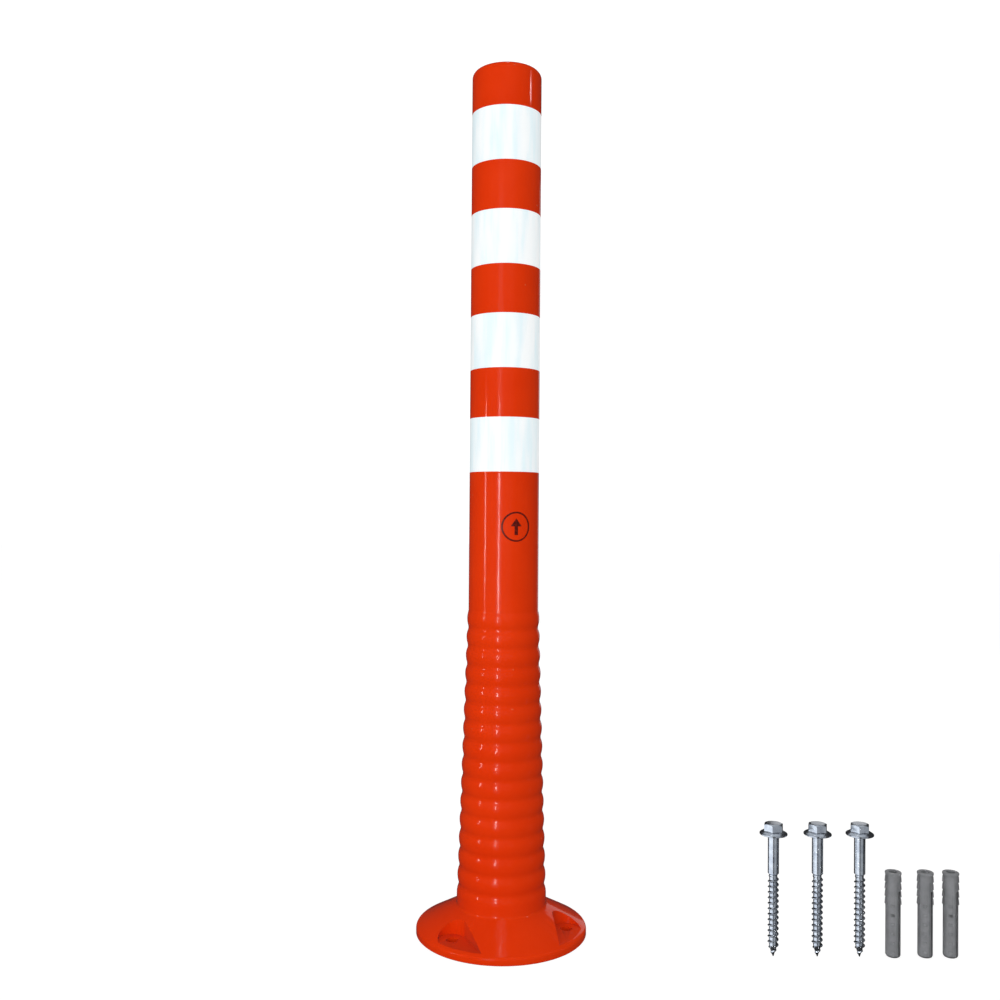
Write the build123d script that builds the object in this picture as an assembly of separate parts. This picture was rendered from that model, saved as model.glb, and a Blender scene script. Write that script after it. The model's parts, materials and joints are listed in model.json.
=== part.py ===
from build123d import *
import math
import os

# A flexible delineator post: a hollow polyurethane moulding that stands on a wide foot, bends over
# in its ringed lower stem when a vehicle runs into it, and springs back.
# Millimetres, +Z up. The origin is the middle of the foot's underside, on the axis of the post.
# -Y is the front, the side that faces the traffic.

# ---- whole post
post_height = 1000.0
tube_d = 81.0            # plain upper tube
wall = 5.5               # wall of the plain tube
crown_thickness = 8.0    # closed top
crown_edge_r = 8.0       # rounding of the outer edge of the top

# ---- ringed stem
ring_count = 16          # crests, the lowest of which runs straight down into the collar
ring_pitch = 21.15
lowest_ring_z = 45.5
top_ring_d = 84.0
bottom_ring_d = 103.6
ring_depth = 1.8         # from a crest in to the groove above or below it
crest_share = 0.7        # share of each flank that belongs to the wide round crest

# ---- foot
foot_d = 197.0
foot_edge_height = 8.0   # where the cone would meet the outer wall of the foot
cone_top_z = 33.0        # where the cone meets the collar
foot_edge_r = 4.0        # rounding of the outer edge
collar_root_r = 4.0      # rounding between cone and collar
foot_bore_d = 92.0       # open underside of the stem

# ---- screw pockets and screw holes in the foot
hole_count = 3
hole_circle_d = 154.0
first_hole_angle = 225.0  # degrees from +X, so two pockets look forward and one lies behind
screw_clearance = 1.5     # on the diameter
pocket_floor_z = 10.5
flange_clearance = 1.0    # between a screw's flange and the pocket walls
release_angle = 285.0     # the way that the front half of the mould is drawn off
release_draft = 8.0       # each pocket wall opens out this much towards its half of the mould

# ---- reflective sheeting
band_count = 4
band_height = 62.5
band_pitch = 118.2
top_band_drop = 50.7      # from the top of the post to the first band
sheet_thickness = 0.5
sheet_recess = 0.6

# ---- printed mark, a ring with an upright arrow
mark_z = 470.0
mark_angle = 290.0        # degrees from +X
mark_d = 34.0
mark_line = 1.8
mark_thickness = 0.15

# ---- loose fixings
screw_d = 12.0
screw_core_d = 8.8
screw_length = 134.0      # under the flange
thread_length = 90.0
thread_pitch = 6.0
point_length = 13.0
flange_d = 30.0
flange_edge = 2.0
flange_height = 4.5
hex_across_flats = 19.0
hex_height = 8.0
hex_angle = 10.0          # degrees that the hexagon is turned from having a corner on +X
plug_d = 16.0
plug_collar_d = 17.7
plug_collar_height = 3.0
plug_length = 93.0
plug_bore_d = 9.0
plug_bore_depth = 82.0
plug_slit = 1.8
plug_slit_length = 74.0
plug_slit_angle = 34.0    # degrees from the front, round to the right
plug_tip_r = 3.0
screw_places = [(299.0, -67.0), (347.5, -67.0), (394.0, -67.0)]
plug_places = [(432.0, -64.0), (467.5, -64.0), (495.5, -64.0)]

# ---- worked out from the above
tube_r = tube_d / 2
inner_tube_r = tube_r - wall
foot_r = foot_d / 2
hole_d = screw_d + screw_clearance
top_ring_z = lowest_ring_z + (ring_count - 1) * ring_pitch
smooth_z = top_ring_z + ring_pitch / 2    # the plain tube starts here
inner_top_z = post_height - crown_thickness


def crest(n):
    """Radius and height of ring n, counted from 0 at the foot."""
    share = n / (ring_count - 1)
    r = (bottom_ring_d + (top_ring_d - bottom_ring_d) * share) / 2
    return Vector(r, lowest_ring_z + n * ring_pitch)


def groove(n):
    """Radius and height of the groove between ring n and the ring above it."""
    low, high = crest(n), crest(n + 1)
    return (low + high) / 2 - Vector(ring_depth, 0)


def bore_r(z):
    """Inner radius of the stem: it narrows evenly from the foot to the plain tube."""
    share = min(z / smooth_z, 1.0)
    return foot_bore_d / 2 + (inner_tube_r - foot_bore_d / 2) * share


def flank(from_crest, to_groove):
    """One side of a ring, upright at its crest and at its groove, as two arcs that meet smoothly."""
    away = 1 if to_groove.Y > from_crest.Y else -1
    knee = from_crest + (to_groove - from_crest) * crest_share
    return [
        TangentArc(from_crest, knee, tangent=(0, away)),
        TangentArc(to_groove, knee, tangent=(0, -away)),
    ]


def turned(edges):
    """The solid that a closed outline of radius and height makes round the post's axis."""
    return revolve(Plane.XZ * make_face(edges), Axis.Z)


def stem_fold(n):
    """One fold of the stem, from the middle of ring n to the middle of the ring above it."""
    low, high, waist = crest(n), crest(n + 1), groove(n)
    inner_low, inner_high = Vector(bore_r(low.Y), low.Y), Vector(bore_r(high.Y), high.Y)
    return turned(
        flank(low, waist)
        + flank(high, waist)
        + [Line(low, inner_low), Line(inner_low, inner_high), Line(inner_high, high)]
    )


def upper_tube():
    """The upper half of the top ring, the plain tube above it and the closed crown."""
    ring, waist = crest(ring_count - 1), Vector(tube_r, smooth_z)
    shoulder = Vector(tube_r, post_height - crown_edge_r)
    rim = Vector(tube_r - crown_edge_r, post_height)
    inner_bend = Vector(inner_tube_r, smooth_z)
    inner_start = Vector(bore_r(ring.Y), ring.Y)
    body = turned(
        flank(ring, waist)
        + [
            Line(waist, shoulder),
            TangentArc(shoulder, rim, tangent=(0, 1)),
            Polyline(
                rim,
                (0, post_height),
                (0, inner_top_z),
                (inner_tube_r, inner_top_z),
                inner_bend,
                inner_start,
                ring,
            ),
        ]
    )
    for n in range(band_count):
        body -= band_ring(n, sheet_recess + 1.0, tube_r + 1.0, 0.0)
    return body


def band_ring(n, thickness, outer_r, clearance):
    """A ring of band n's height, narrower by the clearance at each edge."""
    top = post_height - top_band_drop - n * band_pitch - clearance
    height = band_height - 2 * clearance
    ring = Cylinder(outer_r, height) - Cylinder(outer_r - thickness, height)
    return Pos(0, 0, top - height / 2) * ring


def reflective_band(n):
    """A strip of reflective sheeting wrapped round the tube in its shallow recess."""
    return band_ring(n, sheet_thickness, tube_r - sheet_recess + sheet_thickness, 0.2)


def printed_mark():
    """A ring of ink with an upright arrow in it, wrapped on the face of the tube."""
    ring = Circle(mark_d / 2) - Circle(mark_d / 2 - mark_line)
    head = Polygon((-6.5, 0.5), (6.5, 0.5), (0, 9.5), align=None)
    stem = Pos(0, -4.4) * Rectangle(4.0, 10.0)
    face_out = Plane(
        origin=(0, 0, mark_z),
        x_dir=(-math.sin(math.radians(mark_angle)), math.cos(math.radians(mark_angle)), 0),
        z_dir=(math.cos(math.radians(mark_angle)), math.sin(math.radians(mark_angle)), 0),
    )
    ink = extrude(face_out * (ring + (head + stem)), tube_d)
    skin = Cylinder(tube_r + mark_thickness, mark_d * 1.5) - Cylinder(tube_r, mark_d * 1.5)
    return ink & (Pos(0, 0, mark_z) * skin)


def pocket():
    """What one screw pocket takes out of the foot: round behind the screw, and open along +X."""
    pocket_r = flange_d / 2 + flange_clearance
    ahead = Vector(1, 0).rotate(Axis.Z, release_draft)
    touch = ahead.rotate(Axis.Z, 90) * pocket_r
    mouth = touch + ahead * foot_d
    runout = Polygon(
        (touch.X, -touch.Y), (mouth.X, -mouth.Y), (mouth.X, mouth.Y), (touch.X, touch.Y), align=None
    )
    return Pos(0, 0, pocket_floor_z) * extrude(Circle(pocket_r) + runout, cone_top_z, dir=(0, 0, 1))


def foot():
    """The wide conical base with its collar, open underneath, with three pockets for screws."""
    ring = crest(0)
    collar_foot = (ring.X, cone_top_z)
    outline = make_face(
        Polyline(
            (bore_r(0), 0),
            (foot_r, 0),
            (foot_r, foot_edge_height),
            collar_foot,
            ring,
            (bore_r(ring.Y), ring.Y),
            close=True,
        )
    )
    edge = outline.vertices().sort_by_distance((foot_r, foot_edge_height, 0))[0]
    outline = fillet(edge, foot_edge_r)
    root = outline.vertices().sort_by_distance((*collar_foot, 0))[0]
    outline = fillet(root, collar_root_r)
    body = revolve(Plane.XZ * outline, Axis.Z)
    hole = Cylinder(hole_d / 2, pocket_floor_z * 4)
    for n in range(hole_count):
        hole_angle = math.radians(first_hole_angle + n * 360 / hole_count)
        hole_x = hole_circle_d / 2 * math.cos(hole_angle)
        hole_y = hole_circle_d / 2 * math.sin(hole_angle)
        in_front = math.cos(hole_angle - math.radians(release_angle)) > 0
        opens_to = release_angle if in_front else release_angle + 180
        body -= Pos(hole_x, hole_y, 0) * (hole + Rot(0, 0, opens_to) * pocket())
    return body


def screw():
    """A wood screw with a flanged hexagon head. Rings of the thread's pitch stand for its thread."""
    core_r, crest_r = screw_core_d / 2, screw_d / 2
    turns = round(thread_length / thread_pitch)
    points = [(0, 0)]
    for n in range(turns):
        z = (n + 0.5) * thread_pitch
        growth = min(z / point_length, 1.0)
        points += [
            (core_r * growth, z - 0.3 * thread_pitch),
            (crest_r * growth, z),
            (core_r * growth, z + 0.15 * thread_pitch),
        ]
    points += [
        (core_r, thread_length),
        (crest_r, thread_length + crest_r - core_r),
        (crest_r, screw_length),
        (flange_d / 2, screw_length),
        (flange_d / 2, screw_length + flange_edge),
        (hex_across_flats / 2, screw_length + flange_height),
        (0, screw_length + flange_height),
        (0, 0),
    ]
    body = turned([Polyline(*points)])
    head = extrude(RegularPolygon(hex_across_flats / 2, 6, major_radius=False), hex_height)
    return body + Pos(0, 0, screw_length + flange_height) * Rot(0, 0, hex_angle) * head


def wall_plug():
    """A nylon plug for the road: a collar, a bore for the screw and a slit that lets it spread."""
    shank = Cylinder(plug_d / 2, plug_length, align=(Align.CENTER, Align.CENTER, Align.MIN))
    shank = fillet(shank.edges().sort_by(Axis.Z)[0], plug_tip_r)
    collar = Cylinder(
        plug_collar_d / 2, plug_collar_height, align=(Align.CENTER, Align.CENTER, Align.MAX)
    )
    bore = Cylinder(
        plug_bore_d / 2, plug_bore_depth, align=(Align.CENTER, Align.CENTER, Align.MAX)
    )
    slit = Box(
        plug_slit, plug_d * 2, plug_slit_length, align=(Align.CENTER, Align.CENTER, Align.MIN)
    )
    body = shank + Pos(0, 0, plug_length) * collar
    return body - Pos(0, 0, plug_length) * bore - Rot(0, 0, plug_slit_angle) * slit


os.makedirs("parts", exist_ok=True)
export_step(foot(), "parts/foot.step")
for n in range(ring_count - 1):
    export_step(stem_fold(n), f"parts/stem_fold_{n + 1:02d}.step")
export_step(upper_tube(), "parts/upper_tube.step")
for n in range(band_count):
    export_step(reflective_band(n), f"parts/reflective_band_{n + 1}.step")
export_step(printed_mark(), "parts/printed_mark.step")
for n, (x, y) in enumerate(screw_places, start=1):
    export_step(Pos(x, y, 0) * screw(), f"parts/screw_{n}.step")
for n, (x, y) in enumerate(plug_places, start=1):
    export_step(Pos(x, y, 0) * wall_plug(), f"parts/wall_plug_{n}.step")
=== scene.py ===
import json
import math
import bpy
from mathutils import Matrix, Vector


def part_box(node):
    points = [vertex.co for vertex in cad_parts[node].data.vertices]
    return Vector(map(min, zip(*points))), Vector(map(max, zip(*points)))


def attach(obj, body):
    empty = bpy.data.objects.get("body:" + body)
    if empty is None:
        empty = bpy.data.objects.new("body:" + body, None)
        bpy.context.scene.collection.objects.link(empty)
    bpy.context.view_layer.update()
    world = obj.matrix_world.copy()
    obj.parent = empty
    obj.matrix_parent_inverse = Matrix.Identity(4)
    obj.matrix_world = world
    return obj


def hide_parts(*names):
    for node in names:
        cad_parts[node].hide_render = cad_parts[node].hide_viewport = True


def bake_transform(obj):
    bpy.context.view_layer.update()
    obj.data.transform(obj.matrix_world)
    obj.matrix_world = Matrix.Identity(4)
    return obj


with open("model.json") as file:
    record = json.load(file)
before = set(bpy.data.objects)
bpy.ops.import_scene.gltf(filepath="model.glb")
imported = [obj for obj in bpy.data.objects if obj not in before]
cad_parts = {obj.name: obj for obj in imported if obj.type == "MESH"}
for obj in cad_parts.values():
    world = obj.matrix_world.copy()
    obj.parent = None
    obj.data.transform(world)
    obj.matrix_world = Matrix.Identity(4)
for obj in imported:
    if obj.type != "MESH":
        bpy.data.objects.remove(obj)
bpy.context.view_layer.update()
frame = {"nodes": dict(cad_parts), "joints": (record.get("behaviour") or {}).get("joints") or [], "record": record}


# ---------------------------------------------------------------------------------------------
# Floor, light and camera.
# A white studio floor, three large soft panels, narrow strip lamps and small ceiling lamps in a
# room that is dark behind them. The camera stands almost level at half the post's height.

scene = bpy.context.scene
scene.view_settings.view_transform = "Standard"

bpy.ops.object.select_all(action="DESELECT")
bpy.ops.mesh.primitive_circle_add(vertices=96, radius=14, fill_type="NGON")
floor = bpy.context.object
floor.name = "studio_floor"
floor.visible_glossy = False

floor_paint = bpy.data.materials.new("white_floor_paint")
floor_paint.use_nodes = True
tree = floor_paint.node_tree
tree.nodes.clear()
output = tree.nodes.new("ShaderNodeOutputMaterial")
rays = tree.nodes.new("ShaderNodeLightPath")
seen_or_lit = tree.nodes.new("ShaderNodeMixShader")
bounce = tree.nodes.new("ShaderNodeBsdfDiffuse")
bounce.inputs["Color"].default_value = (0.50, 0.50, 0.50, 1)
whitened = tree.nodes.new("ShaderNodeMixShader")
whitened.inputs["Fac"].default_value = 0.82
matte = tree.nodes.new("ShaderNodeBsdfDiffuse")
matte.inputs["Color"].default_value = (0.93, 0.93, 0.93, 1)
glow = tree.nodes.new("ShaderNodeEmission")
glow.inputs["Strength"].default_value = 1.12
tree.links.new(matte.outputs[0], whitened.inputs[1])
tree.links.new(glow.outputs[0], whitened.inputs[2])
tree.links.new(rays.outputs["Is Camera Ray"], seen_or_lit.inputs["Fac"])
tree.links.new(bounce.outputs[0], seen_or_lit.inputs[1])
tree.links.new(whitened.outputs[0], seen_or_lit.inputs[2])
tree.links.new(seen_or_lit.outputs[0], output.inputs["Surface"])
floor.data.materials.append(floor_paint)

world = bpy.data.worlds.new("white_studio")
scene.world = world
world.use_nodes = True
tree = world.node_tree
tree.nodes.clear()
output = tree.nodes.new("ShaderNodeOutputWorld")
rays = tree.nodes.new("ShaderNodeLightPath")
room_light = tree.nodes.new("ShaderNodeBackground")
room_light.inputs["Color"].default_value = (1, 1, 1, 1)
room_light.inputs["Strength"].default_value = 0.53
dark_room = tree.nodes.new("ShaderNodeBackground")
dark_room.inputs["Color"].default_value = (1, 1, 1, 1)
dark_room.inputs["Strength"].default_value = 0.03
backdrop = tree.nodes.new("ShaderNodeBackground")
backdrop.inputs["Color"].default_value = (1, 1, 1, 1)
backdrop.inputs["Strength"].default_value = 1.1
mirrored_or_lit = tree.nodes.new("ShaderNodeMixShader")
seen_or_lit = tree.nodes.new("ShaderNodeMixShader")
tree.links.new(rays.outputs["Is Glossy Ray"], mirrored_or_lit.inputs["Fac"])
tree.links.new(room_light.outputs[0], mirrored_or_lit.inputs[1])
tree.links.new(dark_room.outputs[0], mirrored_or_lit.inputs[2])
tree.links.new(rays.outputs["Is Camera Ray"], seen_or_lit.inputs["Fac"])
tree.links.new(mirrored_or_lit.outputs[0], seen_or_lit.inputs[1])
tree.links.new(backdrop.outputs[0], seen_or_lit.inputs[2])
tree.links.new(seen_or_lit.outputs[0], output.inputs["Surface"])


def lamp(name, place, aim, size, brightness, mirrored=True, colour=(1, 1, 1)):
    """A rectangular lamp at a place, facing the point that it is aimed at."""
    light = bpy.data.lights.new(name, "AREA")
    light.shape = "RECTANGLE"
    light.size, light.size_y = size
    light.energy = brightness * math.pi * size[0] * size[1]
    light.color = colour
    holder = bpy.data.objects.new(name, light)
    scene.collection.objects.link(holder)
    holder.location = place
    holder.rotation_euler = (Vector(aim) - Vector(place)).to_track_quat("-Z", "Y").to_euler()
    holder.visible_camera = False
    holder.visible_glossy = mirrored
    return holder


lamp("left_panel", (-1.45, -1.75, 0.75), (0, 0, 0.5), (1.5, 2.3), 0.90, mirrored=False)
lamp("front_panel", (0.0, -3.2, 1.1), (0, 0, 0.5), (3.2, 2.4), 1.35, mirrored=False)
lamp("back_panel", (0.6, 2.6, 1.6), (0, 0, 0.5), (2.4, 2.0), 1.0, mirrored=False)
lamp("rear_sheen", (1.1, 2.2, 0.8), (0, 0, 0.5), (0.5, 1.6), 0.5)
lamp("front_sheen", (-0.50, -1.80, 0.45), (0, 0, 0.45), (0.50, 1.9), 0.32)
lamp("key_strip", (-0.37, -1.28, 0.42), (0, 0, 0.42), (0.030, 0.64), 24)
lamp("left_strip", (-1.20, -0.60, 0.52), (0, 0, 0.50), (0.022, 0.44), 26)
lamp("high_strip", (1.28, -0.12, 1.50), (0, 0, 0.97), (0.014, 0.06), 95)
for x, y, power in ((0.0, 0.13, 11), (0.6, -1.1, 26), (-0.35, -1.5, 26), (0.15, -2.1, 26)):
    lamp("ceiling_lamp", (x, y, 2.4), (x / 2, y / 2, 0), (0.045, 0.16), power)

camera_data = bpy.data.cameras.new("camera")
camera = bpy.data.objects.new("camera", camera_data)
scene.collection.objects.link(camera)
scene.camera = camera
camera_data.sensor_width = 36
camera_data.lens = 38.24
camera_side = -0.0048
camera_distance = 1.240
camera_height = 0.489
camera.location = (camera_side, -camera_distance, camera_height)
tilt = Matrix.Rotation(math.radians(90.53), 4, "X")
lean = Matrix.Rotation(math.radians(0.41), 4, "Z")
camera.rotation_euler = (tilt @ lean).to_euler()


# ---------------------------------------------------------------------------------------------
# Foot.
# The wide round end of the moulding, cast in orange polyurethane in one piece with the stem.
# Three pockets open out to its edge, each with a hole for a floor screw.

MM = 0.001
foot_low, foot_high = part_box("foot")
foot_r = (foot_high.x - foot_low.x) / 2
collar_top = foot_high.z
collar_r = (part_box("stem_fold_01")[1].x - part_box("stem_fold_01")[0].x) / 2


def deselect_all():
    """Leaves nothing selected, so that an operator works only on its own piece."""
    bpy.ops.object.select_all(action="DESELECT")


def turned(name, outline, sides=128):
    """Draws a ring of vertices from step to step along an outline of (radius, height)."""
    deselect_all()
    (r, z), steps = outline[0], outline[1:]
    bpy.ops.mesh.primitive_circle_add(vertices=sides, radius=r, location=(0, 0, z))
    piece = bpy.context.object
    piece.name = name
    bpy.ops.object.mode_set(mode="EDIT")
    bpy.ops.mesh.select_all(action="SELECT")
    for next_r, next_z in steps:
        bpy.ops.mesh.extrude_region_move(TRANSFORM_OT_translate={"value": (0, 0, next_z - z)})
        if next_r != r:
            share = next_r / r
            bpy.ops.transform.resize(value=(share, share, 1), center_override=(0, 0, next_z))
        r, z = next_r, next_z
    bpy.ops.mesh.select_all(action="SELECT")
    bpy.ops.mesh.remove_doubles(threshold=1e-6)
    bpy.ops.mesh.normals_make_consistent(inside=False)
    bpy.ops.object.mode_set(mode="OBJECT")
    settle(piece)
    return piece


def settle(piece):
    """Leaves a piece's place in its mesh, with its object at the origin."""
    deselect_all()
    piece.select_set(True)
    bpy.context.view_layer.objects.active = piece
    bpy.ops.object.transform_apply(location=True, rotation=True, scale=True)


def edit(piece):
    """Opens a piece in edit mode with everything on it selected."""
    deselect_all()
    piece.select_set(True)
    bpy.context.view_layer.objects.active = piece
    bpy.ops.object.mode_set(mode="EDIT")
    bpy.ops.mesh.select_all(action="SELECT")


def apply_modifier(piece, kind, **settings):
    """Adds a modifier with these settings and applies it."""
    deselect_all()
    piece.select_set(True)
    bpy.context.view_layer.objects.active = piece
    modifier = piece.modifiers.new(kind.lower(), kind)
    for key, value in settings.items():
        setattr(modifier, key, value)
    bpy.ops.object.modifier_apply(modifier=modifier.name)


def finish_surface(piece, material, angle):
    """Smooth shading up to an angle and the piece's own material."""
    deselect_all()
    piece.select_set(True)
    bpy.context.view_layer.objects.active = piece
    bpy.ops.object.shade_smooth_by_angle(angle=math.radians(angle))
    piece.data.materials.clear()
    piece.data.materials.append(material)


def new_material(name):
    """A material with its node tree, its shader and the piece's own coordinates."""
    material = bpy.data.materials.new(name)
    material.use_nodes = True
    tree = material.node_tree
    place = tree.nodes.new("ShaderNodeTexCoord").outputs["Object"]
    return material, tree, tree.nodes["Principled BSDF"], place


def drawn_out(tree, place, upright_scale):
    """Coordinates on which a texture is drawn out along the height."""
    mapping = tree.nodes.new("ShaderNodeMapping")
    mapping.inputs["Scale"].default_value = (1, 1, upright_scale)
    tree.links.new(place, mapping.inputs["Vector"])
    return mapping.outputs["Vector"]


def noise(tree, place, scale, detail=2):
    """A noise texture on these coordinates."""
    texture = tree.nodes.new("ShaderNodeTexNoise")
    texture.inputs["Scale"].default_value = scale
    texture.inputs["Detail"].default_value = detail
    tree.links.new(place, texture.inputs["Vector"])
    return texture.outputs["Fac"]


def colours(tree, value, low, high):
    """Turns a value into a colour between two ends, each with its position and its colour."""
    ramp = tree.nodes.new("ShaderNodeValToRGB")
    for element, (position, colour) in zip(ramp.color_ramp.elements, (low, high)):
        element.position = position
        element.color = (*colour, 1)
    tree.links.new(value, ramp.inputs["Fac"])
    return ramp.outputs["Color"]


def spread(tree, value, low, high):
    """Spreads a value from 0 to 1 between two numbers."""
    node = tree.nodes.new("ShaderNodeMapRange")
    node.inputs["To Min"].default_value = low
    node.inputs["To Max"].default_value = high
    tree.links.new(value, node.inputs["Value"])
    return node.outputs["Result"]


def bump(tree, value, strength, distance, on=None):
    """A bump from a value, laid over an earlier bump where one is given."""
    node = tree.nodes.new("ShaderNodeBump")
    node.inputs["Strength"].default_value = strength
    node.inputs["Distance"].default_value = distance
    tree.links.new(value, node.inputs["Height"])
    if on is not None:
        tree.links.new(on, node.inputs["Normal"])
    return node.outputs["Normal"]


def orange_polyurethane():
    """Glossy cast polyurethane: slightly uneven colour, faint upright flow lines, a few specks."""
    material, tree, shader, place = new_material("orange_polyurethane")
    nodes, links = tree.nodes, tree.links
    clouds = noise(tree, place, scale=14, detail=4)
    tint = colours(tree, clouds, (0.30, (0.780, 0.035, 0.0010)), (0.72, (0.840, 0.043, 0.0016)))
    links.new(spread(tree, clouds, 0.08, 0.15), shader.inputs["Roughness"])

    specks = nodes.new("ShaderNodeTexVoronoi")
    specks.inputs["Scale"].default_value = 85
    links.new(place, specks.inputs["Vector"])
    spot = nodes.new("ShaderNodeMapRange")
    spot.inputs["From Min"].default_value = 0.05
    spot.inputs["From Max"].default_value = 0.11
    spot.inputs["To Min"].default_value = 1
    spot.inputs["To Max"].default_value = 0
    links.new(specks.outputs["Distance"], spot.inputs["Value"])
    cell = nodes.new("ShaderNodeSeparateColor")
    links.new(specks.outputs["Color"], cell.inputs["Color"])
    chosen = nodes.new("ShaderNodeMath")
    chosen.operation = "GREATER_THAN"
    chosen.inputs[1].default_value = 0.86
    links.new(cell.outputs["Red"], chosen.inputs[0])
    speck = nodes.new("ShaderNodeMath")
    speck.operation = "MULTIPLY"
    links.new(spot.outputs["Result"], speck.inputs[0])
    links.new(chosen.outputs[0], speck.inputs[1])

    faint_speck = nodes.new("ShaderNodeMath")
    faint_speck.operation = "MULTIPLY"
    faint_speck.inputs[1].default_value = 0.5
    links.new(speck.outputs[0], faint_speck.inputs[0])
    speckled = nodes.new("ShaderNodeMix")
    speckled.data_type = "RGBA"
    speckled.inputs["B"].default_value = (0.85, 0.16, 0.06, 1)
    links.new(faint_speck.outputs[0], speckled.inputs["Factor"])
    links.new(tint, speckled.inputs["A"])
    links.new(speckled.outputs["Result"], shader.inputs["Base Color"])

    flow_lines = noise(tree, drawn_out(tree, place, 0.05), scale=130)
    surface = bump(tree, flow_lines, 0.16, 0.0006)
    surface = bump(tree, noise(tree, place, scale=60), 0.12, 0.0008, on=surface)
    surface = bump(tree, speck.outputs[0], 0.8, 0.0004, on=surface)
    links.new(surface, shader.inputs["Normal"])
    shader.inputs["IOR"].default_value = 1.46
    return material


polyurethane = orange_polyurethane()


def finish_moulding(piece, angle):
    """The orange surface. The bright screws don't mirror it, as their light is apart from it."""
    finish_surface(piece, polyurethane, angle)
    piece.visible_glossy = False


foot_bore_r = 46.0 * MM
foot_bore_top_r = 44.64 * MM
cone_top = 33.0 * MM
edge_height = 8.0 * MM
edge_round = 4.0 * MM
root_round = 4.0 * MM
underside_chamfer = 0.8 * MM


def rounded_corner(before, corner, after, radius, steps=6):
    """Points of an arc that rounds the corner of an outline."""
    before, corner, after = Vector(before), Vector(corner), Vector(after)
    back, on = (before - corner).normalized(), (after - corner).normalized()
    half = back.angle(on) / 2
    reach = radius / math.tan(half)
    centre = corner + (back + on).normalized() * (radius / math.sin(half))
    first, last = corner + back * reach - centre, corner + on * reach - centre
    sweep = first.angle(last)
    points = []
    for n in range(steps + 1):
        share = n / steps
        a = math.sin((1 - share) * sweep) / math.sin(sweep)
        b = math.sin(share * sweep) / math.sin(sweep)
        points.append(tuple(centre + first * a + last * b))
    return points


edge_corner = (foot_r, edge_height)
collar_corner = (collar_r, cone_top)
outline = [(foot_bore_r, 0), (foot_r - underside_chamfer, 0), (foot_r, underside_chamfer)]
outline += rounded_corner((foot_r, 0), edge_corner, collar_corner, edge_round)
outline += rounded_corner(edge_corner, collar_corner, (collar_r, collar_top), root_round)
outline += [
    (collar_r, collar_top - 0.3 * MM),
    (collar_r, collar_top),
    (foot_bore_top_r, collar_top),
    (foot_bore_r, 0),
]
foot = turned("foot_moulding", outline, sides=192)

packed = frame["record"]
pockets = [o["box_m"] for o in packed["physics"]["openings"] if o["name"].startswith("screw_pocket")]
bolts = next(m["dims"] for m in packed["mounts"] if m["name"] == "floor_bolts")
hole_r = bolts["hole_r_mm"] * MM
pocket_floor = 10.5 * MM
pocket_r = 16.0 * MM
pocket_draft = math.radians(8)
release_way = math.radians(285)
pocket_edge_round = 1.5 * MM


def pocket_cutter():
    """A prism that is round at one end and opens out slightly along +X."""
    turn = math.pi / 2 + pocket_draft
    steps = 24
    plan = []
    for n in range(steps + 1):
        a = turn + (2 * math.pi - 2 * turn) * n / steps
        plan.append(Vector((pocket_r * math.cos(a), pocket_r * math.sin(a), pocket_floor)))
    reach = foot_r
    run = Vector((math.cos(pocket_draft), math.sin(pocket_draft), 0)) * reach
    plan.append(plan[-1] + Vector((run.x, -run.y, 0)))
    plan.append(plan[0] + run)
    deselect_all()
    bpy.ops.mesh.primitive_circle_add(vertices=len(plan), radius=1, fill_type="NGON")
    cutter = bpy.context.object
    for vertex, point in zip(cutter.data.vertices, plan):
        vertex.co = point
    bpy.ops.object.mode_set(mode="EDIT")
    bpy.ops.mesh.select_all(action="SELECT")
    bpy.ops.mesh.extrude_region_move(TRANSFORM_OT_translate={"value": (0, 0, cone_top)})
    bpy.ops.mesh.select_all(action="SELECT")
    bpy.ops.mesh.normals_make_consistent(inside=False)
    bpy.ops.object.mode_set(mode="OBJECT")
    return cutter


def cut_away(piece, tool):
    """Takes a tool's shape out of a piece and removes the tool."""
    apply_modifier(piece, "BOOLEAN", operation="DIFFERENCE", object=tool, solver="EXACT")
    bpy.data.objects.remove(tool)


for low, high in pockets:
    x, y = (low[0] + high[0]) / 2, (low[1] + high[1]) / 2
    in_front = math.cos(math.atan2(y, x) - release_way) > 0
    cutter = pocket_cutter()
    cutter.location = (x, y, 0)
    cutter.rotation_euler = (0, 0, release_way if in_front else release_way + math.pi)
    cut_away(foot, cutter)
    deselect_all()
    bpy.ops.mesh.primitive_cylinder_add(vertices=48, radius=hole_r, depth=40 * MM, location=(x, y, 0))
    cut_away(foot, bpy.context.object)

apply_modifier(
    foot, "BEVEL", width=pocket_edge_round, segments=3, limit_method="ANGLE",
    angle_limit=math.radians(26), use_clamp_overlap=True, miter_outer="MITER_ARC",
)
finish_moulding(foot, angle=32)
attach(foot, "foot")
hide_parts("foot")


# ---------------------------------------------------------------------------------------------
# Ringed stem.
# The ringed part of the moulding, where the real post bends. Each piece runs from the middle of one ring to the
# middle of the ring above it, over the groove between them.

ring_pitch = 21.15 * MM
ring_depth = 1.8 * MM
crest_share = 0.7
bore_narrowing = 11.0 * MM
stem_joints = frame["joints"]
smooth_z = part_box("upper_tube")[0].z + ring_pitch / 2
# Rounding can throw a ring out of place when the stem bends on the diagonal. These two rings are
# listed to be blended from the upper body, but here they are baked like the others. Blending would
# be no cure at other diagonal bends.
blended_from_above = (6, 12)


def bore_r(z):
    """Inner radius of the stem at a height."""
    return foot_bore_r - bore_narrowing * min(z / smooth_z, 1)


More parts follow.
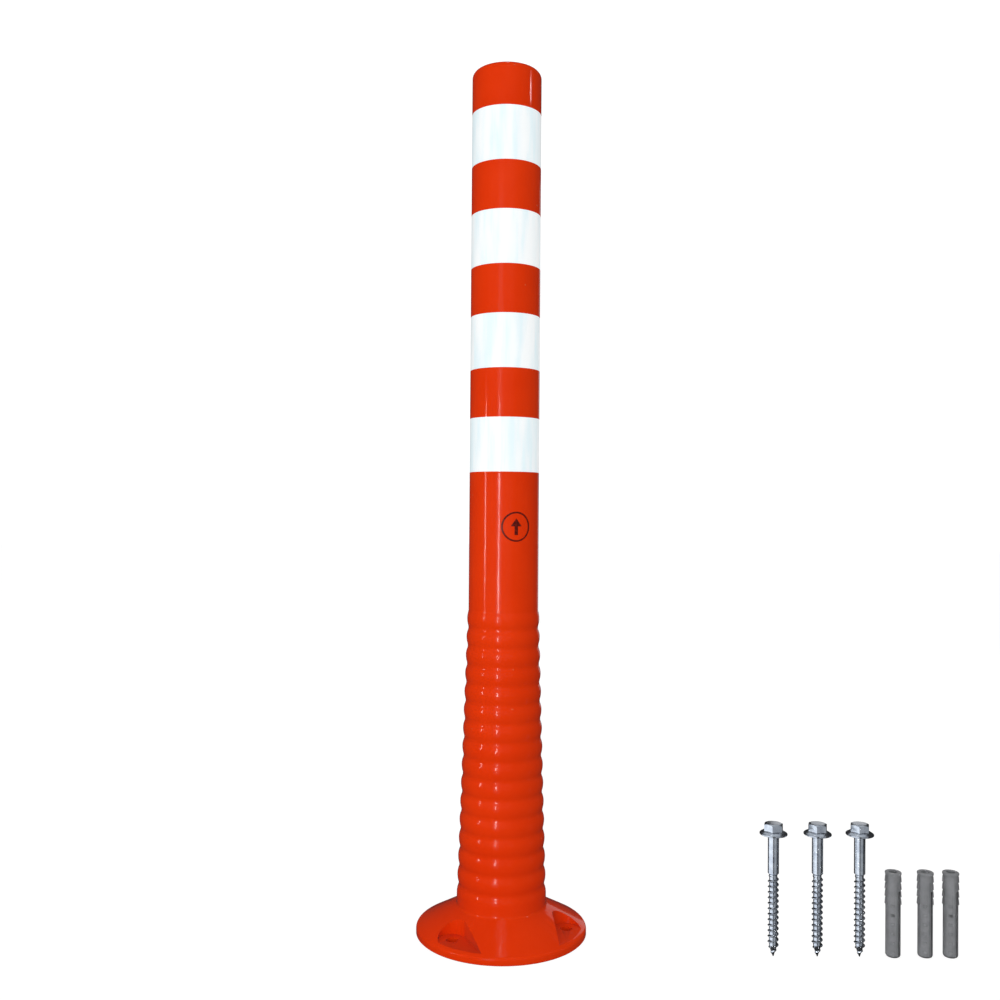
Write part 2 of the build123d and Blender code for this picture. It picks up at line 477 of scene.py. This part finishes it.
def flank(crest, groove, steps=7):
    """Points from a ring's crest to the bottom of a groove: two arcs that meet smoothly."""
    (crest_r, crest_z), (groove_r, groove_z) = crest, groove
    drop, rise = crest_r - groove_r, groove_z - crest_z
    turn = 2 * math.atan2(drop, abs(rise))
    crest_arc = crest_share * abs(rise) / math.sin(turn)
    groove_arc = (1 - crest_share) * abs(rise) / math.sin(turn)
    way = math.copysign(1, rise)
    hold = 0.15 * MM
    points = [(crest_r, crest_z), (crest_r, crest_z + way * hold)]
    for n in range(1, steps + 1):
        a = turn * n / steps
        r = crest_r - crest_arc * (1 - math.cos(a))
        points.append((r, crest_z + way * crest_arc * math.sin(a)))
    for n in range(steps - 1, -1, -1):
        a = turn * n / steps
        r = groove_r + groove_arc * (1 - math.cos(a))
        points.append((r, groove_z - way * groove_arc * math.sin(a)))
    return points


def stem_piece(joint):
    """The fold of the stem at one joint."""
    node = joint["deforming_nodes"][0]["node"]
    low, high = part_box(node)
    number = int(node[-2:])
    above = f"stem_fold_{number + 1:02d}" if number < len(stem_joints) else "upper_tube"
    lower_r = (high.x - low.x) / 2
    upper_r = (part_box(above)[1].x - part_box(above)[0].x) / 2
    middle = (low.z + high.z) / 2
    groove = ((lower_r + upper_r) / 2 - ring_depth, middle)
    outline = flank((lower_r, low.z), groove)
    outline += flank((upper_r, high.z), groove)[-2::-1]
    inner_steps = 6
    for n in range(inner_steps, -1, -1):
        z = low.z + (high.z - low.z) * n / inner_steps
        outline.append((bore_r(z), z))
    outline.append((lower_r, low.z))
    piece = turned(f"stem_ring_{number:02d}", outline)
    finish_moulding(piece, angle=40)
    if number in blended_from_above:
        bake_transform(piece)
    else:
        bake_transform(piece)
    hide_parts(node)


for joint in stem_joints:
    stem_piece(joint)


# ---------------------------------------------------------------------------------------------
# Upper tube.
# The plain upper end of the moulding with its closed crown. A shallow recess runs round it for
# each strip of sheeting.

tube_low, tube_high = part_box("upper_tube")
tube_r = 40.5 * MM
top_ring_r = (tube_high.x - tube_low.x) / 2
inner_tube_r = 35.0 * MM
crown_round = 8.0 * MM
crown_thickness = 8.0 * MM
sheet_recess = 0.6 * MM
recess_gap = 0.2 * MM
bands = [f"reflective_band_{n}" for n in (4, 3, 2, 1)]

outline = flank((top_ring_r, tube_low.z), (tube_r, smooth_z))
for band in bands:
    band_low, band_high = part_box(band)
    bottom, top = band_low.z - recess_gap, band_high.z + recess_gap
    lip = 0.25 * MM
    outline += [
        (tube_r, bottom - 3 * lip),
        (tube_r, bottom - lip),
        (tube_r - 0.1 * lip, bottom - 0.3 * lip),
        (tube_r - lip, bottom),
        (tube_r - sheet_recess, bottom + 0.1 * lip),
        (tube_r - sheet_recess, top - 0.1 * lip),
        (tube_r - lip, top),
        (tube_r - 0.1 * lip, top + 0.3 * lip),
        (tube_r, top + lip),
        (tube_r, top + 3 * lip),
    ]
outline += rounded_corner(
    (tube_r, 0), (tube_r, tube_high.z), (0, tube_high.z), crown_round, steps=12
)
outline += [
    (tube_r * 0.5, tube_high.z),
    (0, tube_high.z),
    (0, tube_high.z - crown_thickness),
    (inner_tube_r, tube_high.z - crown_thickness),
    (inner_tube_r, smooth_z),
    (bore_r(tube_low.z), tube_low.z),
    (top_ring_r, tube_low.z),
]


def turned_closed(name, outline, sides=128):
    """A turned piece whose outline touches the axis, drawn in two parts and joined."""
    poles = [n for n, (r, z) in enumerate(outline) if r == 0]
    outside = turned(name, outline[: poles[0] + 1], sides=sides)
    inside = turned(name + "_inside", outline[:poles[1] - 1 : -1], sides=sides)
    deselect_all()
    outside.select_set(True)
    inside.select_set(True)
    bpy.context.view_layer.objects.active = outside
    bpy.ops.object.join()
    bpy.ops.object.mode_set(mode="EDIT")
    bpy.ops.mesh.select_all(action="SELECT")
    bpy.ops.mesh.remove_doubles(threshold=1e-6)
    bpy.ops.mesh.normals_make_consistent(inside=False)
    bpy.ops.object.mode_set(mode="OBJECT")
    return outside


tube = turned_closed("tube_and_crown", outline)
finish_moulding(tube, angle=40)
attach(tube, "post_top")
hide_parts("upper_tube")


# ---------------------------------------------------------------------------------------------
# Reflective bands.
# Strips of white microprismatic sheeting under a clear film, cut to length and stuck round the
# tube in its recesses. Each strip's end laps over its start at the back.


def white_sheeting():
    """White sheeting with faint upright blue-grey streaks and a fine prism grid under gloss. Its base colour is
    dimmed and it glows with painted light, standing in for the bright light it sends back.
    """
    material, tree, shader, place = new_material("white_reflective_sheeting")
    nodes, links = tree.nodes, tree.links
    streaks = noise(tree, drawn_out(tree, place, 0.12), scale=85, detail=3)
    tint = colours(tree, streaks, (0.38, (0.80, 0.925, 0.965)), (0.60, (0.955, 0.98, 0.985)))
    # The base colour is dimmed because most of the sheeting's brightness comes from its painted glow.
    dimmed_under_painted_glow = nodes.new("ShaderNodeMix")
    dimmed_under_painted_glow.data_type = "RGBA"
    dimmed_under_painted_glow.blend_type = "MULTIPLY"
    dimmed_under_painted_glow.inputs["Factor"].default_value = 1
    dimmed_under_painted_glow.inputs["B"].default_value = (0.42, 0.42, 0.42, 1)
    links.new(tint, dimmed_under_painted_glow.inputs["A"])
    links.new(dimmed_under_painted_glow.outputs["Result"], shader.inputs["Base Color"])
    # Painted light: the sheeting glows in its own streaked colour, standing in for the light it sends back to the
    # lamps.
    links.new(tint, shader.inputs["Emission Color"])
    shader.inputs["Emission Strength"].default_value = 0.68
    prisms = nodes.new("ShaderNodeTexVoronoi")
    prisms.feature = "DISTANCE_TO_EDGE"
    prisms.inputs["Scale"].default_value = 300
    prisms.inputs["Randomness"].default_value = 0.0
    links.new(place, prisms.inputs["Vector"])
    links.new(bump(tree, prisms.outputs["Distance"], 0.12, 0.0002), shader.inputs["Normal"])
    shader.inputs["Roughness"].default_value = 0.38
    shader.inputs["Coat Weight"].default_value = 0.4
    shader.inputs["Coat Roughness"].default_value = 0.12
    return material


sheeting = white_sheeting()
sheet_thickness = 0.5 * MM
overlap_turn = math.radians(11)
overlap_rise = 0.22 * MM


def raise_overlap(piece, outside):
    """Raises a narrow upright stretch at the back, where the strip's end lies on its start."""
    edit(piece)
    bpy.ops.mesh.select_all(action="DESELECT")
    bpy.ops.mesh.select_mode(type="FACE")
    bpy.ops.object.mode_set(mode="OBJECT")
    for face in piece.data.polygons:
        x, y, z = face.center
        off_back = abs(math.atan2(x, y))
        face.select = off_back < overlap_turn / 2 and math.hypot(x, y) > outside * 0.995
    bpy.ops.object.mode_set(mode="EDIT")
    bpy.ops.mesh.extrude_region_shrink_fatten(TRANSFORM_OT_shrink_fatten={"value": overlap_rise})
    # The turned pieces are drawn with vertices selected, so the mode goes back.
    bpy.ops.mesh.select_mode(type="VERT")
    bpy.ops.object.mode_set(mode="OBJECT")


for band in bands:
    low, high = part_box(band)
    inside, outside = tube_r - sheet_recess, tube_r - sheet_recess + sheet_thickness
    soft = 0.12 * MM
    outline = [
        (inside, low.z),
        (outside - soft, low.z),
        (outside, low.z + soft),
        (outside, high.z - soft),
        (outside - soft, high.z),
        (inside, high.z),
        (inside, low.z),
    ]
    piece = turned("sheeting_" + band[-1], outline)
    raise_overlap(piece, outside)
    finish_surface(piece, sheeting, angle=30)
    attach(piece, "post_top")
    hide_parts(band)


# ---------------------------------------------------------------------------------------------
# Printed mark.
# A ring with an upright arrow, printed on the face of the tube in dark ink that has soaked
# slightly unevenly into the glossy surface.


def dark_ink():
    """Dark maroon printing ink, thinner in small patches so that the orange warms it."""
    material, tree, shader, place = new_material("dark_ink")
    patches = noise(tree, place, scale=420, detail=3)
    tint = colours(tree, patches, (0.38, (0.070, 0.0035, 0.0015)), (0.70, (0.240, 0.010, 0.002)))
    tree.links.new(tint, shader.inputs["Base Color"])
    tree.links.new(bump(tree, patches, 0.15, 0.0001), shader.inputs["Normal"])
    shader.inputs["Roughness"].default_value = 0.3
    return material


mark = frame["nodes"]["printed_mark"]
mark.data.materials.clear()
mark.data.materials.append(dark_ink())


# ---------------------------------------------------------------------------------------------
# Floor screws.
# Flanged hexagon wood screws of bright zinc-plated steel. The thread is rolled onto the lower
# two thirds of the shank and runs out into a gimlet point.


def zinc_plate():
    """Bright zinc over steel: bluish, slightly cloudy, with fine lengthwise drawing marks."""
    material, tree, shader, place = new_material("zinc_plate")
    clouds = noise(tree, place, scale=160, detail=4)
    tint = colours(tree, clouds, (0.32, (0.56, 0.60, 0.68)), (0.68, (0.80, 0.84, 0.90)))
    drawing_marks = noise(tree, drawn_out(tree, place, 0.04), scale=1800)
    tree.links.new(tint, shader.inputs["Base Color"])
    tree.links.new(spread(tree, clouds, 0.16, 0.30), shader.inputs["Roughness"])
    tree.links.new(bump(tree, drawing_marks, 0.08, 0.0001), shader.inputs["Normal"])
    shader.inputs["Metallic"].default_value = 1
    return material


screw_core_r = 4.4 * MM
screw_r = 6.0 * MM
screw_length = 134.0 * MM
thread_length = 90.0 * MM
thread_pitch = 6.0 * MM
point_length = 13.0 * MM
flange_r = 15.0 * MM
flange_edge = 2.0 * MM
flange_height = 4.5 * MM
hex_across_flats = 19.0 * MM
hex_height = 8.0 * MM
hex_turn = math.radians(-20)


def add_on(piece, part):
    """Joins a part's shape to a piece as one surface."""
    apply_modifier(piece, "BOOLEAN", operation="UNION", object=part, solver="EXACT")
    bpy.data.objects.remove(part)


def threaded_rod():
    """A rod with a sharp right-hand thread that fades out at the shank and tapers to a point."""
    deselect_all()
    below_point = -1.5 * thread_pitch
    bpy.ops.mesh.primitive_plane_add(size=1 * MM, location=(screw_core_r, 0, below_point))
    rod = bpy.context.object
    settle(rod)
    edit(rod)
    # One vertex is left, and one pitch of the thread's outline is drawn up from it.
    bpy.ops.mesh.merge(type="CENTER")
    depth = screw_r - screw_core_r
    profile = ((0, 0.50), (depth, 0.20), (0, 0.06), (-depth, 0.24))
    for outward, share in profile:
        step = (outward, 0, share * thread_pitch)
        bpy.ops.mesh.extrude_region_move(TRANSFORM_OT_translate={"value": step})
    bpy.ops.object.mode_set(mode="OBJECT")
    apply_modifier(
        rod, "SCREW", axis="Z", angle=2 * math.pi, screw_offset=thread_pitch, iterations=18,
        steps=40, render_steps=40, use_merge_vertices=True, merge_threshold=1e-6,
    )
    edit(rod)
    bpy.ops.mesh.remove_doubles(threshold=1e-6)
    top = thread_length + 1 * MM
    for height, direction in ((0, -1), (top, 1)):
        bpy.ops.mesh.select_all(action="SELECT")
        bpy.ops.mesh.bisect(
            plane_co=(0, 0, height), plane_no=(0, 0, direction), use_fill=True, clear_outer=True
        )
    bpy.ops.object.mode_set(mode="OBJECT")
    fade_length = 5 * MM
    for vertex in rod.data.vertices:
        x, y, z = vertex.co
        r = math.hypot(x, y)
        if r < 1e-7:
            continue
        fade = min(max((thread_length - z) / fade_length, 0), 1)
        new_r = screw_core_r + (r - screw_core_r) * fade
        new_r *= min(max(z / point_length, 0), 1) ** 0.8
        vertex.co.x *= new_r / r
        vertex.co.y *= new_r / r
    edit(rod)
    bpy.ops.mesh.remove_doubles(threshold=1e-5)
    bpy.ops.mesh.normals_make_consistent(inside=False)
    bpy.ops.object.mode_set(mode="OBJECT")
    return rod


def screw_head():
    """Shank, flange and hexagon with its domed top."""
    neck = thread_length + screw_r - screw_core_r
    under = 0.8 * MM
    hex_top = screw_length + flange_height + hex_height
    shank = turned_closed(
        "floor_screw",
        [
            (screw_r, neck),
            (screw_r, screw_length - under),
            (screw_r + under, screw_length),
            (flange_r - 0.4 * MM, screw_length),
            (flange_r, screw_length + 0.4 * MM),
            (flange_r, screw_length + flange_edge - 0.6 * MM),
            (flange_r - 0.6 * MM, screw_length + flange_edge),
            (hex_across_flats / 2 + 1.6 * MM, screw_length + flange_height - 0.5 * MM),
            (hex_across_flats / 2, screw_length + flange_height),
            (0, screw_length + flange_height),
            (0, thread_length),
            (screw_core_r, thread_length),
            (screw_r, neck),
        ],
        sides=56,
    )
    corner_r = hex_across_flats / math.sqrt(3)
    deselect_all()
    base = screw_length + flange_edge
    bpy.ops.mesh.primitive_cylinder_add(
        vertices=6, radius=corner_r, depth=hex_top - base, location=(0, 0, (hex_top + base) / 2),
        rotation=(0, 0, hex_turn),
    )
    head = bpy.context.object
    settle(head)
    dome = turned_closed(
        "dome",
        [
            (corner_r * 1.1, base - 1 * MM),
            (corner_r * 1.1, hex_top - 2.6 * MM),
            (corner_r * 0.95, hex_top - 1.1 * MM),
            (corner_r * 0.80, hex_top - 0.3 * MM),
            (corner_r * 0.60, hex_top),
            (0, hex_top),
            (0, base - 1 * MM),
            (corner_r * 1.1, base - 1 * MM),
        ],
        sides=48,
    )
    apply_modifier(head, "BOOLEAN", operation="INTERSECT", object=dome, solver="EXACT")
    bpy.data.objects.remove(dome)
    apply_modifier(
        head, "BEVEL", width=0.35 * MM, segments=2, limit_method="ANGLE",
        angle_limit=math.radians(34), use_clamp_overlap=True,
    )
    add_on(shank, head)
    return shank


fixings = bpy.data.collections.new("loose_fixings")


def copies(first, names, body):
    """A copy of a piece at the middle of each CAD node, with a mesh of its own."""
    for name in names:
        low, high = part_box(name)
        copy = first.copy()
        copy.data = first.data.copy()
        copy.name = name + "_finished"
        scene.collection.objects.link(copy)
        fixings.objects.link(copy)
        copy.location = ((low.x + high.x) / 2, (low.y + high.y) / 2, 0)
        settle(copy)
        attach(copy, body)
        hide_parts(name)
    bpy.data.objects.remove(first)


bluish = (0.90, 0.95, 1.0)
for name, place, size, brightness in (
    ("bench_left", (-1.74, -0.75, 0.0), (4.7, 3.2), 1.15),
    ("bench_right", (1.31, -2.04, 0.0), (2.3, 3.2), 0.38),
    ("bench_top", (0.35, 0.6, 2.2), (2.4, 2.4), 0.55),
):
    bench = lamp(name, place, (0.35, -0.067, 0.0), size, brightness, colour=bluish)
    bench.visible_diffuse = False
    bench.light_linking.receiver_collection = fixings

screw = screw_head()
add_on(screw, threaded_rod())
finish_surface(screw, zinc_plate(), angle=30)
copies(screw, ["screw_1", "screw_2", "screw_3"], "foot")


# ---------------------------------------------------------------------------------------------
# Wall plugs.
# Grey nylon plugs for the road, moulded with a collar, barbs at both sides, a row of small
# pads down the front, a rib and a slit that lets them spread.


def grey_nylon():
    """Matt grey nylon, faintly cloudy, with painted shade that darkens the slit and the spaces under the barbs."""
    material, tree, shader, place = new_material("grey_nylon")
    clouds = noise(tree, place, scale=110, detail=4)
    tint = colours(tree, clouds, (0.30, (0.195, 0.199, 0.207)), (0.70, (0.245, 0.250, 0.262)))
    # Painted shade: occlusion darkens the base colour in the slit, under the barbs and in other hollows.
    painted_recess_shade = tree.nodes.new("ShaderNodeAmbientOcclusion")
    painted_recess_shade.samples = 8
    painted_recess_shade.inputs["Distance"].default_value = 0.004
    tree.links.new(tint, painted_recess_shade.inputs["Color"])
    tree.links.new(painted_recess_shade.outputs["Color"], shader.inputs["Base Color"])
    moulded_grain = noise(tree, place, scale=900)
    tree.links.new(bump(tree, moulded_grain, 0.15, 0.0001), shader.inputs["Normal"])
    shader.inputs["Roughness"].default_value = 0.42
    return material


plug_r = 8.0 * MM
plug_collar_r = 8.85 * MM
plug_collar_height = 3.0 * MM
plug_length = 93.0 * MM
plug_bore_r = 4.5 * MM
plug_bore_depth = 82.0 * MM
plug_tip_round = 3.0 * MM
edge_soft = 0.5 * MM

tip_arc = rounded_corner((plug_r, plug_length), (plug_r, 0), (0, 0), plug_tip_round)
plug = turned_closed(
    "wall_plug",
    [
        tip_arc[0],
        (plug_r, plug_length - 2 * plug_collar_height),
        (plug_r + 0.1 * MM, plug_length - plug_collar_height - 0.6 * MM),
        (plug_collar_r - 0.2 * MM, plug_length - plug_collar_height + 0.6 * MM),
        (plug_collar_r, plug_length - 1.2 * MM),
        (plug_collar_r - 0.2 * MM, plug_length - 0.4 * MM),
        (plug_collar_r - edge_soft - 0.2 * MM, plug_length),
        (plug_bore_r + edge_soft, plug_length),
        (plug_bore_r, plug_length - edge_soft),
        (plug_bore_r, plug_length - plug_bore_depth),
        (0, plug_length - plug_bore_depth),
        (0, 0),
    ]
    + tip_arc[::-1],
    sides=72,
)


def block(size, place, turn=(0, 0, 0)):
    """A box with its own size, place and turn."""
    deselect_all()
    bpy.ops.mesh.primitive_cube_add(size=1, location=place, rotation=turn, scale=size)
    cube = bpy.context.object
    settle(cube)
    return cube


barb_pitch = 8.2 * MM
barb_count = 4
lowest_barb_z = 57.5 * MM
barb_size = (1.6 * MM, 5.5 * MM, 6.4 * MM)
barb_lean = math.radians(5)
barb_rise = 0.25 * MM
barb_r = plug_r - barb_size[0] / 2 + barb_rise
for side in (-1, 1):
    for n in range(barb_count):
        z = lowest_barb_z + n * barb_pitch + barb_size[2] / 2
        add_on(plug, block(barb_size, (side * barb_r, 0, z), (0, -side * barb_lean, 0)))


pad_pitch = 10.1 * MM
pad_count = 6
lowest_pad_z = 6.8 * MM
pad_size = (3.8 * MM, 1.2 * MM, 2.8 * MM)
pad_turn = math.radians(22)
pad_rise = 0.1 * MM
pad_r = plug_r - pad_size[1] / 2 + pad_rise
for n in range(pad_count):
    z = lowest_pad_z + n * pad_pitch
    place = (-pad_r * math.sin(pad_turn), -pad_r * math.cos(pad_turn), z)
    add_on(plug, block(pad_size, place, (0, 0, -pad_turn)))

rib_size = (1.1 * MM, 1.6 * MM, 80 * MM)
rib_turn = math.radians(17)
rib_rise = 0.35 * MM
rib_r = plug_r - rib_size[1] / 2 + rib_rise
rib_z = plug_tip_round + rib_size[2] / 2
rib_place = (rib_r * math.sin(rib_turn), -rib_r * math.cos(rib_turn), rib_z)
add_on(plug, block(rib_size, rib_place, (0, 0, rib_turn)))

slit_size = (2.3 * MM, 32 * MM, 74 * MM)
slit_turn = math.radians(34)
past_tip = 1 * MM
cut_away(plug, block(slit_size, (0, 0, slit_size[2] / 2 - past_tip), (0, 0, slit_turn)))
apply_modifier(
    plug, "BEVEL", width=0.3 * MM, segments=2, limit_method="ANGLE",
    angle_limit=math.radians(38), use_clamp_overlap=True,
)
finish_surface(plug, grey_nylon(), angle=34)
copies(plug, ["wall_plug_1", "wall_plug_2", "wall_plug_3"], "foot")
